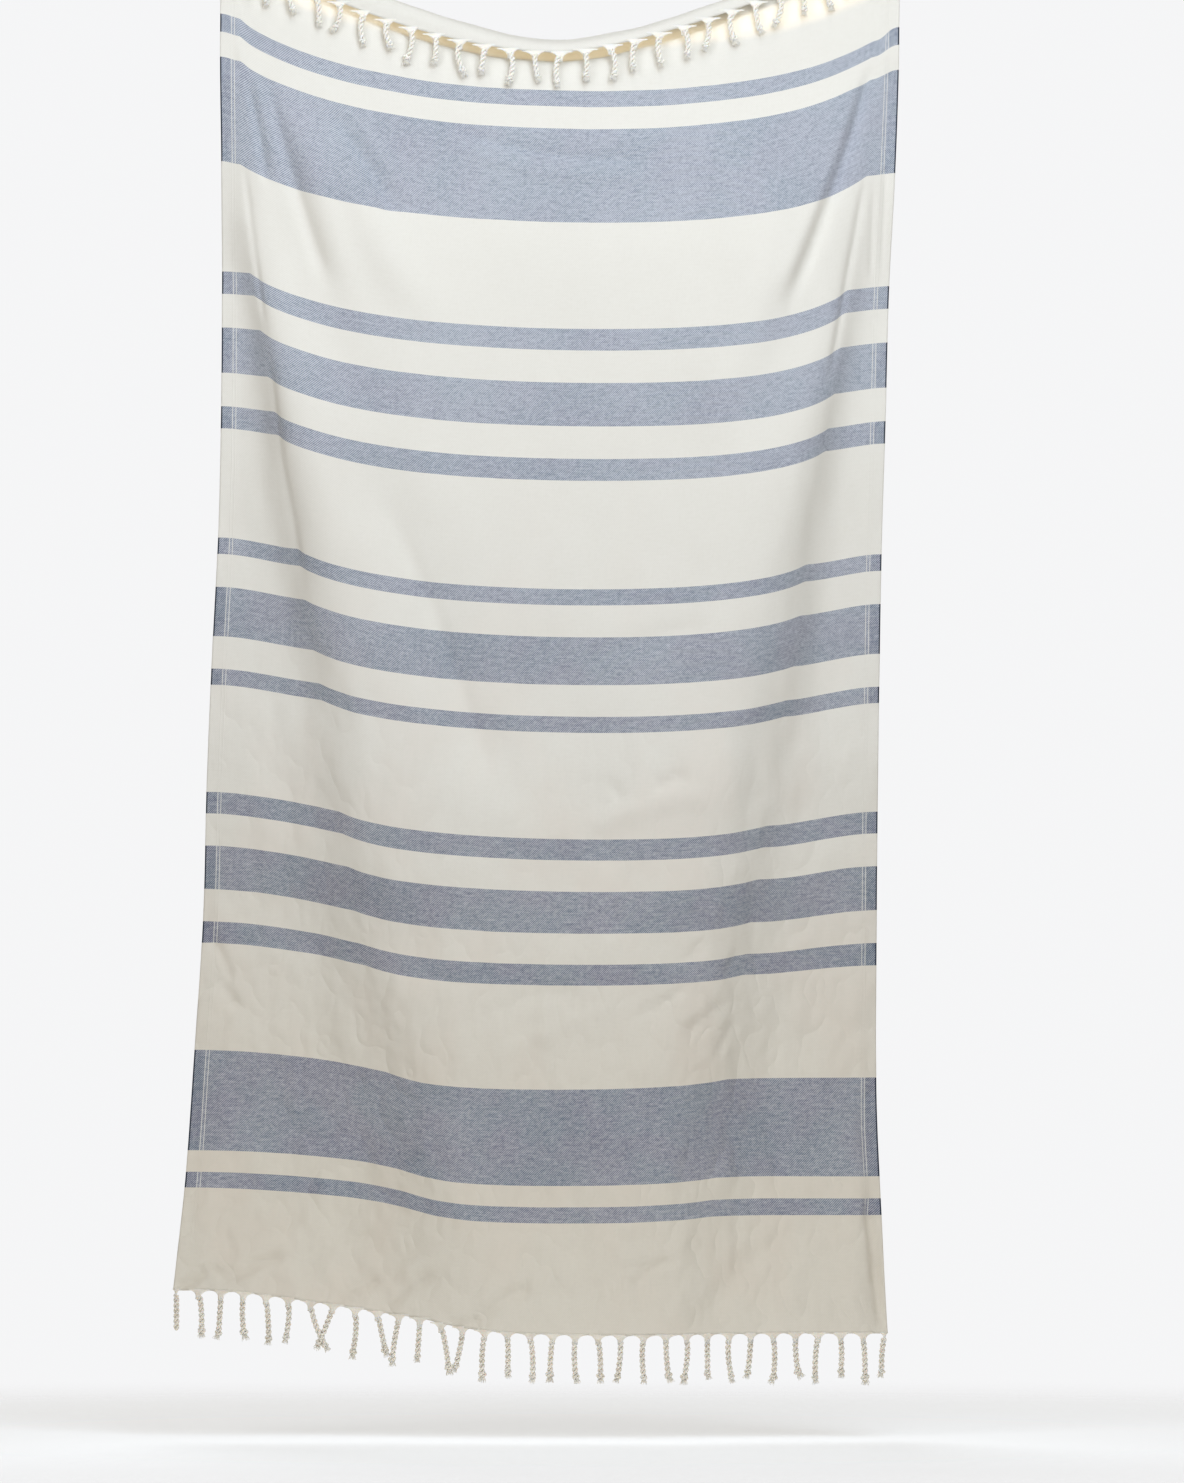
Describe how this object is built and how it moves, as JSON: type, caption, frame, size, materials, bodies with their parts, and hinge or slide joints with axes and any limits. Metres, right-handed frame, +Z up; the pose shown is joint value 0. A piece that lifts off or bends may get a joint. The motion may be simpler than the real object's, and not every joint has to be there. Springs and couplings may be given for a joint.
{
  "type": "hammam towel",
  "caption": "Flat-woven cotton hammam towel with weft stripes and knotted fringes, hung from its top corners with its top end folded forward.",
  "frame": {"origin": "middle of the top fold, where the cloth's edge line hangs lowest between its two held corners", "axes": "+Z up, along the hanging cloth; the front, with the folded flap and its fringe, faces -Y; +X is to the right seen from the front"},
  "size_m": [0.9673, 0.1479, 1.9209],
  "materials": {
    "woven_cotton": "matt woven cotton, cream with blue-grey weft stripes",
    "cotton_cord": "matt two-ply cotton strands, undyed"
  },
  "bodies": {
    "root": {"towel_cloth": "woven_cotton", "fringe_top": "cotton_cord", "fringe_bottom": "cotton_cord"}
  },
  "joints": []
}
